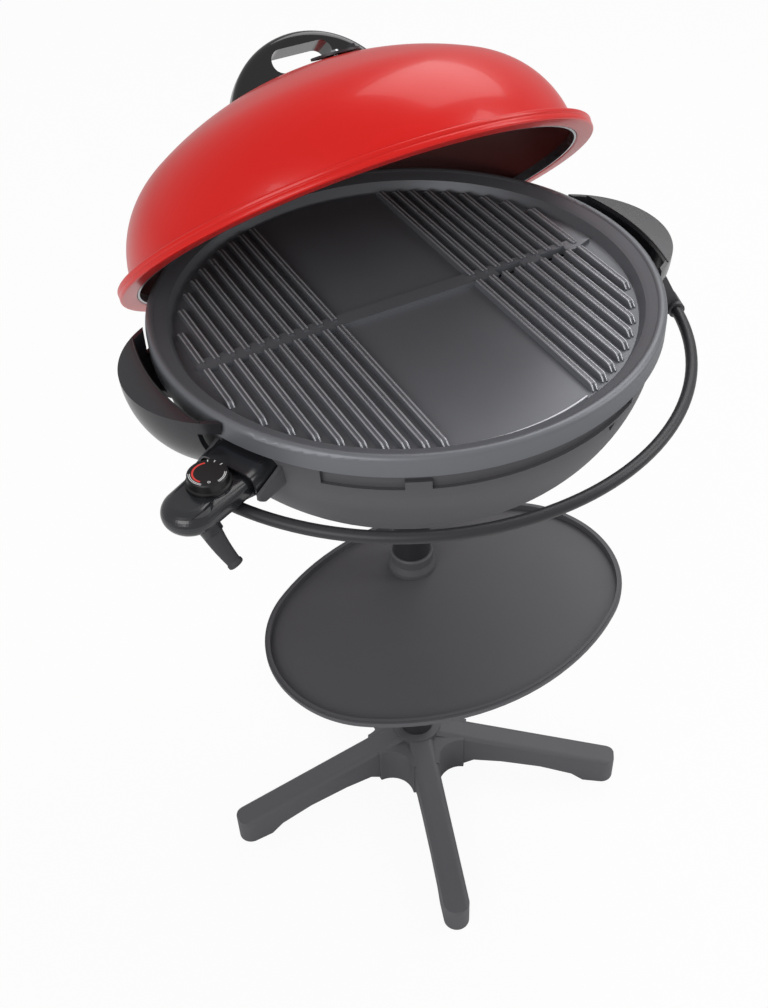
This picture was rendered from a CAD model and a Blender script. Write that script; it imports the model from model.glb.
import math

import bmesh
import bpy
import numpy as np
from bpy.props import FloatProperty, FloatVectorProperty, PointerProperty
from bpy.types import NodeSocket, Operator, Panel, PropertyGroup
from mathutils import Matrix, Vector


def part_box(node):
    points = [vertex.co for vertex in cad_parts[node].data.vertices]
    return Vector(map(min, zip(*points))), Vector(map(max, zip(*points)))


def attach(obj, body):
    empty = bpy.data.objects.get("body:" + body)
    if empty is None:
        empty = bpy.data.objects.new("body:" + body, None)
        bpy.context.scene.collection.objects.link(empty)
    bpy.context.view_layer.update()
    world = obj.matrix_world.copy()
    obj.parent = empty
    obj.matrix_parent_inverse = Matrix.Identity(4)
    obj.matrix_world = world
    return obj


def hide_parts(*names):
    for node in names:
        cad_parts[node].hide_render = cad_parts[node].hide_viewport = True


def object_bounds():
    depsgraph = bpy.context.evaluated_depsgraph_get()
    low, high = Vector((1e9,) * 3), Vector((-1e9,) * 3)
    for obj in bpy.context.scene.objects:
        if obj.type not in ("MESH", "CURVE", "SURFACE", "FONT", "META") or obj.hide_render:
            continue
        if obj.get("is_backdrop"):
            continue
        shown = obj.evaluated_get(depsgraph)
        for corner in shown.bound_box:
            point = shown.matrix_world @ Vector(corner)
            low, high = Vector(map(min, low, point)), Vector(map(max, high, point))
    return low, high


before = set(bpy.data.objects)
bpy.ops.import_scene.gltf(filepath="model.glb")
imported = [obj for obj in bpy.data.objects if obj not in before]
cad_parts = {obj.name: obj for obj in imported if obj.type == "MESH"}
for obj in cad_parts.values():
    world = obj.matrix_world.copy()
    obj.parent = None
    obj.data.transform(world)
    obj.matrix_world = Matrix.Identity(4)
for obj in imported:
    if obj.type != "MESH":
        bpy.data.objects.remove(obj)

bl_info = {
    "name": "Pedestal grill",
    "version": (1, 0, 0),
    "blender": (4, 5, 0),
    "location": "View3D > Sidebar > Grill",
    "description": "Dresses the packed pedestal grill with its finishes and its smooth shells",
    "category": "Object",
}

LENGTH = {"subtype": "DISTANCE", "unit": "LENGTH"}


# ---------------------------------------------------------------- colours

def hex_colour(text):
    """Linear RGB of an sRGB hex value such as #D8200F."""
    srgb = np.array([int(text[i:i + 2], 16) for i in (1, 3, 5)]) / 255
    linear = np.where(srgb <= 0.04045, srgb / 12.92, ((srgb + 0.055) / 1.055) ** 2.4)
    return tuple(float(value) for value in linear)


def colour(name, description, text):
    """A colour property whose default is an sRGB hex value."""
    return FloatVectorProperty(name=name, description=description, subtype="COLOR", size=3,
                               min=0, max=1, default=hex_colour(text))


def metres(name, description, value, low, high):
    """A length property in metres."""
    return FloatProperty(name=name, description=description, default=value, min=low, max=high,
                         precision=4, **LENGTH)


class GrillSizes(PropertyGroup):
    """Sizes that a user would change, in metres."""
    plate_top: metres("Plate rim height", "Height of the plate's rim above the floor",
                      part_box("grill_plate")[1][2], 0.5, 1.0)
    enamel_ripple: metres("Enamel ripple", "Width of the soft ripple in the baked enamel",
                          0.009, 0.002, 0.03)
    plastic_grain: metres("Plastic grain", "Width of the spark-eroded grain on moulded parts",
                          0.0009, 0.0003, 0.003)
    coat_fleck: metres("Coating fleck", "Width of a fleck in the non-stick coat",
                       0.0008, 0.0003, 0.003)
    camera_lens: FloatProperty(name="Lens", description="Focal length for a 36 mm long side",
                               default=0.0439, min=0.02, max=0.2, precision=4)


class GrillColours(PropertyGroup):
    """Colours that a user would change."""
    enamel: colour("Enamel", "Red of the lid", "#E0140A")
    enamel_inside: colour("Inside enamel", "Dark inside of the lid", "#5A2320")
    coating: colour("Non-stick coat", "Grey of the grill plate", "#77797E")
    coating_worn: colour("Polished coat", "Grey of the plate's raised edges", "#C4C5CA")
    moulding: colour("Moulding", "Grey of the bowl, shelf and foot", "#59585C")
    handle: colour("Handle", "Grey of the side handles", "#2C2C30")
    tube: colour("Tube", "Powder coat of the column and the rail", "#2F2E32")
    gloss: colour("Gloss black", "Black of the lid's handle and the knob", "#101012")
    housing: colour("Housing", "Dark grey of the thermostat's housing", "#26272B")
    rubber: colour("Rubber", "Dark grey of the strain relief and the feet", "#38373B")
    steel: colour("Zinc", "Zinc-plated screws and pins", "#B8BABD")
    red_print: colour("Red print", "Red arc on the knob", "#E8423A")
    white_print: colour("White print", "White marks on the knob", "#F2F2F2")


# ---------------------------------------------------------------- materials

def add(tree, kind, inputs=None, **settings):
    """Adds a node, sets its properties, and fills or links its inputs."""
    node = tree.nodes.new(kind)
    for key, value in settings.items():
        setattr(node, key, value)
    for key, value in (inputs or {}).items():
        if isinstance(value, NodeSocket):
            tree.links.new(value, node.inputs[key])
        else:
            node.inputs[key].default_value = value
    return node


def rgba(rgb, shade=1.0):
    """RGBA of a linear colour, made lighter or darker."""
    return tuple(min(1.0, part * shade) for part in rgb) + (1.0,)


def surface(name, rgb, spread=0.06, spread_size=0.12, grain=0.0008, depth=0.00003,
            detail=2.0, rough=0.5, rough_spread=0.08, **shader):
    """A principled material. Its colour drifts by the share spread over spread_size metres,
    its bump has grains of the given width and depth in metres, and its roughness wanders."""
    material = bpy.data.materials.new(name)
    material.use_nodes = True
    tree = material.node_tree
    tree.nodes.clear()
    place = add(tree, "ShaderNodeTexCoord").outputs["Object"]
    drift = add(tree, "ShaderNodeTexNoise", {"Vector": place, "Scale": 1 / spread_size,
                                             "Detail": 3.0, "Roughness": 0.5})
    tint = add(tree, "ShaderNodeMix", {0: drift.outputs["Fac"], 6: rgba(rgb, 1 - spread),
                                       7: rgba(rgb, 1 + spread)}, data_type="RGBA")
    grains = add(tree, "ShaderNodeTexNoise", {"Vector": place, "Scale": 1 / grain,
                                              "Detail": detail, "Roughness": 0.55})
    bump = add(tree, "ShaderNodeBump", {"Height": grains.outputs["Fac"], "Strength": 1.0,
                                        "Distance": depth})
    wander = add(tree, "ShaderNodeMapRange", {"Value": drift.outputs["Fac"], "From Min": 0.3,
                                              "From Max": 0.7, "To Min": rough - rough_spread,
                                              "To Max": rough + rough_spread})
    inputs = {"Base Color": tint.outputs[2], "Normal": bump.outputs["Normal"],
              "Roughness": wander.outputs["Result"]}
    inputs.update({key.replace("_", " "): value for key, value in shader.items()})
    shade = add(tree, "ShaderNodeBsdfPrincipled", inputs)
    add(tree, "ShaderNodeOutputMaterial", {"Surface": shade.outputs["BSDF"]})
    return material


def make_finishes(scene):
    """All finishes by name, from the scene's sizes and colours."""
    size, tone = scene.grill_sizes, scene.grill_colours
    grain, fleck = size.plastic_grain, size.coat_fleck
    return {
        # baked enamel on pressed steel: deep gloss with a soft ripple
        "enamel": surface("baked_enamel_red", tone.enamel, spread=0.03, spread_size=0.3,
                          grain=size.enamel_ripple, depth=0.00002, detail=0.0, rough=0.3,
                          rough_spread=0.03, Coat_Weight=0.2, Coat_Roughness=0.06,
                          Specular_IOR_Level=0.35),
        # the same enamel in a dark ground coat, duller because it bakes unseen
        "enamel_inside": surface("ground_coat_enamel", tone.enamel_inside, spread=0.1, rough=0.38,
                                 grain=size.enamel_ripple, depth=0.00002),
        # sprayed non-stick coat on die-cast aluminium: soft metal sheen, fine flecks
        "coating": surface("non_stick_coat", tone.coating, spread=0.05, grain=fleck,
                           depth=0.00004, rough=0.42, rough_spread=0.04, Metallic=0.35),
        # moulded glass-filled nylon with a spark-eroded grain: matt
        "moulding": surface("moulded_nylon", tone.moulding, spread=0.05, grain=grain,
                            depth=0.00005, rough=0.55, rough_spread=0.05),
        # the same nylon, polished tool: satin
        "handle": surface("satin_nylon", tone.handle, spread=0.05, grain=grain, depth=0.00002,
                          rough=0.26, rough_spread=0.05, Coat_Weight=0.2, Coat_Roughness=0.15),
        # powder coat on steel tube: satin, faintly pebbled
        "tube": surface("powder_coat", tone.tube, spread=0.05, grain=0.0015, depth=0.00004,
                        rough=0.42, rough_spread=0.05),
        # polished phenolic: near mirror
        "gloss": surface("polished_phenolic", tone.gloss, spread=0.05, grain=0.004, depth=0.00001,
                         rough=0.14, rough_spread=0.03, Coat_Weight=0.5, Coat_Roughness=0.04),
        # moulded ABS with a satin skin
        "housing": surface("satin_abs", tone.housing, spread=0.04, grain=grain, depth=0.00001,
                           rough=0.24, rough_spread=0.03, Coat_Weight=0.35, Coat_Roughness=0.12),
        # phenolic knob, moulded matt on top
        "dial": surface("matt_phenolic", hex_colour("#0D0D0F"), spread=0.05, grain=grain,
                        depth=0.00001, rough=0.42, rough_spread=0.03),
        # the plate's coat where cloth and food have polished its edges
        "coating_worn": surface("polished_coat", tone.coating_worn, spread=0.08, spread_size=0.05,
                                grain=fleck, depth=0.00003, rough=0.3, rough_spread=0.05,
                                Metallic=0.5),
        # moulded rubber: dull
        # epoxy ink, pad-printed: flat and even
        "red_print": surface("red_ink", tone.red_print, spread=0.04, grain=0.0003, depth=0.000004,
                             rough=0.45),
        "white_print": surface("white_ink", tone.white_print, spread=0.03, grain=0.0003,
                               depth=0.000004, rough=0.45),
        # moulded rubber: dull
        "rubber": surface("moulded_rubber", tone.rubber, grain=0.001, depth=0.00005, rough=0.6),
        # zinc-plated steel
        "steel": surface("zinc_plate", tone.steel, grain=0.0006, depth=0.00001, rough=0.3,
                         Metallic=1.0),
        # steel sheath, blued by heat
        "sheath": surface("heat_blued_steel", hex_colour("#5A534E"), grain=0.002, rough=0.45,
                          Metallic=0.9),
        # steatite ceramic
        "ceramic": surface("steatite", hex_colour("#D8D3C6"), grain=0.001, rough=0.5),
        # turned brass
        "brass": surface("turned_brass", hex_colour("#C8A24A"), grain=0.0006, rough=0.25,
                         Metallic=1.0),
        # brown phenolic moulding of the switch
        "phenolic": surface("brown_phenolic", hex_colour("#7A5A34"), grain=0.001, rough=0.4),
    }


FINISH_OF = {
    "enamel": ["lid_dome"],
    "coating": ["grill_plate"],
    "moulding": ["star_foot", "collar_lower", "shelf", "collar_upper", "bowl_mount", "bowl",
                 "socket_guard", "rail_bracket_left", "rail_bracket_right"],
    "handle": ["left_handle", "right_handle"],
    "tube": ["lower_column", "upper_column", "front_rail", "hinge_bracket", "hinge_arms",
             "lid_strap", "vent_cover"],
    "gloss": ["lid_handle"],
    "dial": ["control_knob"],
    "housing": ["control_base", "control_cover", "socket_shroud"],
    "rubber": ["foot_pads", "cord_boot"],
    "steel": ["foot_bolt", "column_plug", "mount_screws", "drip_tray", "heat_reflector",
              "element_posts", "bracket_screws", "lower_hinge_pin", "upper_hinge_pin",
              "strap_rivets", "lid_trim_ring", "handle_screws", "vent_rivet", "probe_rod",
              "knob_shaft"],
    "sheath": ["heating_element"],
    "ceramic": ["terminal_block"],
    "brass": ["contact_sleeves"],
    "phenolic": ["thermostat_switch"],
}

FINISH = {}


# ---------------------------------------------------------------- surfaces

# All lengths here are in mm.
RIM_CENTRE = (0.0, 0.0, 720.0)
LID_PLACE, LID_ANGLE = (0.0, 92.5, 742.0), math.radians(42.3)
DOME_R, DOME_WALL = 221.0, 1.5
SHOULDER_R, SHOULDER_Z = 100.0, 9.0
CROWN_R, CROWN_Z = 332.3, -189.3
CONTROL_ANGLE = math.radians(207)
KNOB_X, KNOB_TOP = 279.0, -17.3
RELIEF_START, RELIEF_END = (KNOB_X + 23, 14.4, -47.5), 43.5
RELIEF_LEAN, RELIEF_TURN = math.radians(148), math.radians(98)
PLATE_FLOOR, FLOOR_R = -17.0, 212.0
RIB_TOP, RIB_HALF, RIB_PITCH = -11.5, 3.0, 14.4
RIBS = ([-70 - RIB_PITCH * i for i in range(10)] + [76 + RIB_PITCH * i for i in range(9)])
GRIDDLE_BEAD_R, HANDLE_BEAD_R = 209.5, 250.0


def on_lid(points):
    """Lid points in mm, rim on z = 0, turned about X by the lid's angle and set behind the plate."""
    x, y, z = np.moveaxis(np.asarray(points, float), -1, 0)
    sine, cosine = math.sin(LID_ANGLE), math.cos(LID_ANGLE)
    return np.stack([x, y * cosine + z * sine, z * cosine - y * sine], axis=-1) + LID_PLACE


def on_control(points):
    """Thermostat points in mm, X away from the column, turned about Z and raised to the rim."""
    x, y, z = np.moveaxis(np.asarray(points, float), -1, 0)
    sine, cosine = math.sin(CONTROL_ANGLE), math.cos(CONTROL_ANGLE)
    return np.stack([x * cosine - y * sine, x * sine + y * cosine, z], axis=-1) + RIM_CENTRE


def on_plate(points):
    """Points in mm, measured from the centre of the plate's rim."""
    return np.asarray(points, float) + RIM_CENTRE


def arc(centre, radius, start, end, count):
    """Points of a circle's arc: centre + radius * (cos t, sin t), t from start to end degrees."""
    t = np.radians(np.linspace(start, end, count))
    return np.stack([centre[0] + radius * np.cos(t), centre[1] + radius * np.sin(t)], axis=-1)


def rounded(corners, radius, steps=5):
    """A polyline whose inner corners are curves: between the points at distance radius on
    both sides of a corner P it follows (1-t)^2 A + 2t(1-t) P + t^2 B."""
    corners = np.asarray(corners, float)
    t = np.linspace(0, 1, steps)[:, None]
    out = [corners[:1]]
    for before, at, after in zip(corners[:-2], corners[1:-1], corners[2:]):
        reach = [min(radius, 0.45 * np.linalg.norm(end - at)) for end in (before, after)]
        a, b = (at + (end - at) / np.linalg.norm(end - at) * far
                for end, far in zip((before, after), reach))
        out.append((1 - t) ** 2 * a + 2 * t * (1 - t) * at + t ** 2 * b)
    return np.concatenate(out + [corners[-1:]])


def revolve(profile, start=0.0, end=360.0, count=192):
    """A grid (profile, turn): the point (r, z) goes to (r cos a, r sin a, z)."""
    angle = np.radians(np.linspace(start, end, count + 1))
    r, z = np.asarray(profile, float).T
    return np.stack([np.outer(r, np.cos(angle)), np.outer(r, np.sin(angle)),
                     np.outer(z, np.ones_like(angle))], axis=-1)


def tube(path, radius, sides=32):
    """A grid (path, turn) round a path: each ring lies square to the path, at the path's point
    plus radius * (cos a * side + sin a * up), and the end rings close to their centres."""
    path = np.asarray(path, float)
    radius = np.broadcast_to(radius, len(path)).astype(float)
    along = np.gradient(path, axis=0)
    along /= np.linalg.norm(along, axis=1)[:, None]
    side = np.cross(along, [0.31, 0.17, 0.93])
    side /= np.linalg.norm(side, axis=1)[:, None]
    up = np.cross(side, along)
    a = np.linspace(0, 2 * np.pi, sides + 1)[None, :, None]
    ring = path[:, None] + radius[:, None, None] * (np.cos(a) * side[:, None]
                                                    + np.sin(a) * up[:, None])
    ends = [np.repeat(path[i][None, None], sides + 1, axis=1) for i in (0, -1)]
    return np.concatenate([ends[0], ring, ends[1]])


def skin(name, grids, finish, body, smooth=50):
    """A mesh in world metres from grids of points in mm; seams and poles are welded, faces
    look outward, and edges sharper than smooth degrees stay crisp."""
    corners, faces, first = [], [], 0
    for grid in grids:
        rows, columns = grid.shape[:2]
        index = first + np.arange(rows * columns).reshape(rows, columns)
        faces.append(np.stack([index[:-1, :-1], index[:-1, 1:], index[1:, 1:], index[1:, :-1]],
                              axis=-1).reshape(-1, 4))
        corners.append(grid.reshape(-1, 3))
        first += rows * columns
    mesh = bpy.data.meshes.new(name)
    mesh.from_pydata((np.concatenate(corners) / 1000).tolist(), [], np.concatenate(faces).tolist())
    work = bmesh.new()
    work.from_mesh(mesh)
    bmesh.ops.remove_doubles(work, verts=work.verts, dist=1e-6)
    bmesh.ops.recalc_face_normals(work, faces=work.faces)
    work.to_mesh(mesh)
    work.free()
    mesh.shade_smooth()
    mesh.set_sharp_from_angle(angle=math.radians(smooth))
    mesh.materials.append(FINISH[finish])
    piece = bpy.data.objects.new(name, mesh)
    bpy.context.scene.collection.objects.link(piece)
    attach(piece, body)
    return piece


def dome_profile(inset, low):
    """The dome's section from its top to the height low: the crown's arc, then the
    shoulder's arc, both moved in by inset."""
    lean = math.degrees(math.atan2(SHOULDER_Z - CROWN_Z, DOME_R - SHOULDER_R))
    crown = arc((0, CROWN_Z), CROWN_R - inset, 90, lean, 40)
    crown[0, 0] = 0
    shoulder = arc((DOME_R - SHOULDER_R, SHOULDER_Z), SHOULDER_R - inset, lean, 0, 30)
    return np.concatenate([crown, shoulder[1:], [[DOME_R - inset, low]]])


def rim_profile():
    """The rim's section as (r, z): out over the top, down the grooved edge, and in below."""
    return rounded([[DOME_R, 12.5], [DOME_R + 0.2, 10], [236, 10], [236, 6.6], [235, 5.4],
                    [236, 4.2], [236, 0], [DOME_R - DOME_WALL, 0], [DOME_R - DOME_WALL, 8]], 2.4)


def print_band(inner, outer, start, end, count=32):
    """A printed arc on the knob's top, 0.06 mm thick: a rectangle of inner to outer radius
    turned about the knob from start to end degrees, with its ends closed to their middles."""
    low, high = KNOB_TOP - 0.1, KNOB_TOP + 0.06
    grid = revolve([[inner, low], [outer, low], [outer, high], [inner, high], [inner, low]],
                   start, end, count)
    middle = np.repeat(grid[:4].mean(axis=0)[None, (0, -1)], 5, axis=0)
    return np.concatenate([middle[:, :1], grid, middle[:, 1:]], axis=1) + [KNOB_X, 0, 0]


def relief_path(reach, bend=0.0):
    """Points of the strain relief at the given distances from its start: along its axis, and
    bent towards the column by bend * sin(pi * reach / length)."""
    axis = np.array([math.sin(RELIEF_LEAN) * math.cos(RELIEF_TURN),
                     math.sin(RELIEF_LEAN) * math.sin(RELIEF_TURN), math.cos(RELIEF_LEAN)])
    side = np.cross(axis, [0, 0, 1])
    side = np.cross(side / np.linalg.norm(side), axis)
    sag = bend * np.sin(np.pi * reach / RELIEF_END)
    return RELIEF_START + reach[:, None] * axis - sag[:, None] * side


def turned_path(radius, start, end, height, count):
    """Points of a level circle about the plate's centre: (radius cos t, radius sin t, height)."""
    flat = arc((0, 0), radius, start, end, count)
    return np.column_stack([flat, np.full(count, height)])


def rib_edges(x):
    """The four top edges of the two ribs at x, as tubes: level from the middle band to 5 mm
    short of the rib's end, then down the rib's sloping end to the floor."""
    end = math.sqrt(FLOOR_R ** 2 - (abs(x) + RIB_HALF) ** 2)
    grids = []
    for edge in (x - RIB_HALF + 1, x + RIB_HALF - 1):
        for way in (-1, 1):
            path = rounded([[edge, way * 6, RIB_TOP], [edge, way * (end - 5), RIB_TOP],
                            [edge, way * (end - 0.5), PLATE_FLOOR + 0.6]], 4, 6)
            grids.append(on_plate(tube(path, 0.85, 10)))
    return grids


# ---------------------------------------------------------------- operators

class GRILL_OT_finishes(Operator):
    """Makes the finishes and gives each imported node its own"""
    bl_idname = "grill.finishes"
    bl_label = "Finishes"

    def execute(self, context):
        FINISH.update(make_finishes(context.scene))
        for finish, nodes in FINISH_OF.items():
            for node in nodes:
                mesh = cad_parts[node].data
                mesh.materials.clear()
                mesh.materials.append(FINISH[finish])
        missed = set(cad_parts) - {node for nodes in FINISH_OF.values() for node in nodes}
        if missed:
            raise RuntimeError(f"these nodes have no finish: {sorted(missed)}")
        return {"FINISHED"}


class GRILL_OT_lid(Operator):
    """Makes the lid: a red shell with a rolled rim, and the dark ground coat inside it"""
    bl_idname = "grill.lid"
    bl_label = "Lid"

    def execute(self, context):
        outer = np.concatenate([dome_profile(0, 14)[:-2], rim_profile(),
                                dome_profile(DOME_WALL, 9)[-2::-1]])
        shell = skin("lid_shell", [on_lid(revolve(outer, count=256))], "enamel", "lid")
        lining = np.concatenate([dome_profile(1.7, 10.6), dome_profile(1.9, 10.6)[::-1]])
        skin("lid_lining", [on_lid(revolve(lining, count=192))], "enamel_inside", "lid")
        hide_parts("lid_dome")
        return {"FINISHED"}


class GRILL_OT_dial(Operator):
    """Prints the knob's marks: a red arc, four white arcs, three ticks and a zero"""
    bl_idname = "grill.dial"
    bl_label = "Dial marks"

    def execute(self, context):
        red = [print_band(11.2, 12.8, -131, 13)]
        white = [print_band(13.8, 14.3, -50, 22), print_band(15.0, 15.5, -50, 22),
                 print_band(13.8, 14.3, 78, 128), print_band(15.0, 15.5, 78, 128)]
        white += [print_band(13.2, 15.6, angle, angle + 3, 4) for angle in (-142, 168, -165)]
        white.append(print_band(0.8, 1.25, 0, 357) + [8.0, 8.9, 0])
        skin("knob_red_print", [on_control(grid) for grid in red], "red_print", "knob")
        skin("knob_white_print", [on_control(grid) for grid in white], "white_print", "knob")
        return {"FINISHED"}


class GRILL_OT_boot(Operator):
    """Makes the strain relief, a bent taper with a bead at its end, and the flare that holds it"""
    bl_idname = "grill.boot"
    bl_label = "Strain relief"

    def execute(self, context):
        reach = np.linspace(4, RELIEF_END, 80)
        radius = np.interp(reach, [4, 38.5, 39.5, 40.5, 42.8, RELIEF_END],
                           [9.1, 6.1, 6.2, 6.9, 6.9, 6.2])
        boot = skin("strain_relief", [on_control(tube(relief_path(reach, 2.0), radius))], "rubber",
                    "thermostat")
        reach = np.linspace(-15, 9, 40)
        flare = 9.5 + 7.5 * ((9 - reach) / 24) ** 2
        skin("housing_horn", [on_control(tube(relief_path(reach), flare, 48))], "housing",
             "thermostat")
        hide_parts("cord_boot")
        return {"FINISHED"}


class GRILL_OT_plate_marks(Operator):
    """Makes the plate's beads: one along the griddle's front and one on each edge of each rib"""
    bl_idname = "grill.plate_marks"
    bl_label = "Plate marks"

    def execute(self, context):
        path = turned_path(GRIDDLE_BEAD_R, -108, -72, PLATE_FLOOR + 0.6, 72)
        grids = [on_plate(tube(path, 1.4, 16))]
        for x in RIBS:
            grids += rib_edges(x)
        skin("plate_beads", grids, "coating_worn", "plate")
        return {"FINISHED"}


class GRILL_OT_handle_beads(Operator):
    """Makes the bead along the inner edge of each side handle's crescent"""
    bl_idname = "grill.handle_beads"
    bl_label = "Handle beads"

    def execute(self, context):
        for name, start, end in (("left", 166.5, 199.5), ("right", -19.5, 13.5)):
            path = turned_path(HANDLE_BEAD_R, start, end, -2.1, 60)
            skin(f"{name}_handle_bead", [on_plate(tube(path, 0.9, 16))], "gloss", "grill_base")
        return {"FINISHED"}


class GRILL_OT_stage(Operator):
    """Makes the floor, the light and the camera"""
    bl_idname = "grill.stage"
    bl_label = "Stage"

    def execute(self, context):
        scene = context.scene
        scene.view_settings.view_transform = "Standard"
        self.floor()
        self.light(scene)
        self.camera(scene)
        return {"FINISHED"}

    def floor(self):
        """A wide white floor that keeps a faint shadow."""
        half = 30.0
        mesh = bpy.data.meshes.new("floor")
        mesh.from_pydata([(-half, -half, 0), (half, -half, 0), (half, half, 0), (-half, half, 0)],
                         [], [(0, 1, 2, 3)])
        floor = bpy.data.objects.new("floor", mesh)
        bpy.context.scene.collection.objects.link(floor)
        material = bpy.data.materials.new("white_paper")
        material.use_nodes = True
        tree = material.node_tree
        tree.nodes.clear()
        rays = add(tree, "ShaderNodeLightPath")
        seen = add(tree, "ShaderNodeMath", {0: rays.outputs["Is Camera Ray"], 1: 0.94},
                   operation="MULTIPLY")
        paper = add(tree, "ShaderNodeBsdfDiffuse", {"Color": (0.86, 0.86, 0.86, 1)})
        glow = add(tree, "ShaderNodeEmission", {"Color": (1, 1, 1, 1), "Strength": 1.0})
        both = add(tree, "ShaderNodeMixShader", {0: seen.outputs[0], 1: paper.outputs[0],
                                                 2: glow.outputs[0]})
        add(tree, "ShaderNodeOutputMaterial", {"Surface": both.outputs[0]})
        mesh.materials.append(material)
        floor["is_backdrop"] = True

    def light(self, scene):
        """Soft boxes round the grill and a plain white room."""
        world = bpy.data.worlds.new("white_room")
        scene.world = world
        world.use_nodes = True
        tree = world.node_tree
        tree.nodes.clear()
        rays = add(tree, "ShaderNodeLightPath")
        level = add(tree, "ShaderNodeMapRange", {"Value": rays.outputs["Is Camera Ray"],
                                                 "To Min": 0.45, "To Max": 1.0})
        room = add(tree, "ShaderNodeBackground", {"Color": (1, 1, 1, 1),
                                                  "Strength": level.outputs[0]})
        add(tree, "ShaderNodeOutputWorld", {"Surface": room.outputs[0]})
        aim = Vector((0, 0, 0.7))
        for name, place, width, height, power in (
                ("left_box", (-2.0, -1.3, 1.9), 1.6, 1.6, 26),
                ("right_box", (2.2, -0.9, 1.9), 0.9, 1.6, 16),
                ("top_box", (1.5, 0.9, 2.8), 2.0, 2.0, 30)):
            data = bpy.data.lights.new(name, "AREA")
            data.shape, data.size, data.size_y, data.energy = "RECTANGLE", width, height, power
            lamp = bpy.data.objects.new(name, data)
            lamp.location = place
            lamp.rotation_euler = (aim - Vector(place)).to_track_quat("-Z", "Y").to_euler()
            scene.collection.objects.link(lamp)

    def camera(self, scene):
        """The photograph's view: the camera stands at the front left and looks down."""
        data = bpy.data.cameras.new("camera")
        data.sensor_width, data.lens = 36.0, scene.grill_sizes.camera_lens * 1000
        camera = bpy.data.objects.new("camera", data)
        place, aim = Vector((-0.4490, -0.8520, 1.3426)), Vector((-0.0253, 0.0124, 0.4533))
        roll = math.radians(-2.753)
        turn = (aim - place).to_track_quat("-Z", "Y").to_matrix() @ Matrix.Rotation(roll, 3, "Z")
        camera.location, camera.rotation_euler = place, turn.to_euler()
        scene.collection.objects.link(camera)
        scene.camera = camera


class GRILL_PT_panel(Panel):
    """Lists the sizes, the colours and the steps"""
    bl_label = "Grill"
    bl_idname = "GRILL_PT_panel"
    bl_space_type = "VIEW_3D"
    bl_region_type = "UI"
    bl_category = "Grill"

    def draw(self, context):
        for group in (context.scene.grill_sizes, context.scene.grill_colours):
            box = self.layout.box()
            for key in type(group).__annotations__:
                box.prop(group, key)
        for operator in OPERATORS:
            self.layout.operator(operator.bl_idname)


OPERATORS = (GRILL_OT_finishes, GRILL_OT_lid, GRILL_OT_dial, GRILL_OT_boot,
             GRILL_OT_plate_marks, GRILL_OT_handle_beads, GRILL_OT_stage)
CLASSES = (GrillSizes, GrillColours) + OPERATORS + (GRILL_PT_panel,)


def register():
    for cls in CLASSES:
        bpy.utils.register_class(cls)
    bpy.types.Scene.grill_sizes = PointerProperty(type=GrillSizes)
    bpy.types.Scene.grill_colours = PointerProperty(type=GrillColours)


def unregister():
    del bpy.types.Scene.grill_sizes, bpy.types.Scene.grill_colours
    for cls in reversed(CLASSES):
        bpy.utils.unregister_class(cls)


def corners():
    """The lowest and highest corner of the shown object, as plain lists."""
    return [list(corner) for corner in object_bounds()]


def main():
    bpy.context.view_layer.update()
    register()
    for operator in OPERATORS:
        group, step = operator.bl_idname.split(".")
        getattr(getattr(bpy.ops, group), step)()


if __name__ == "__main__":
    main()
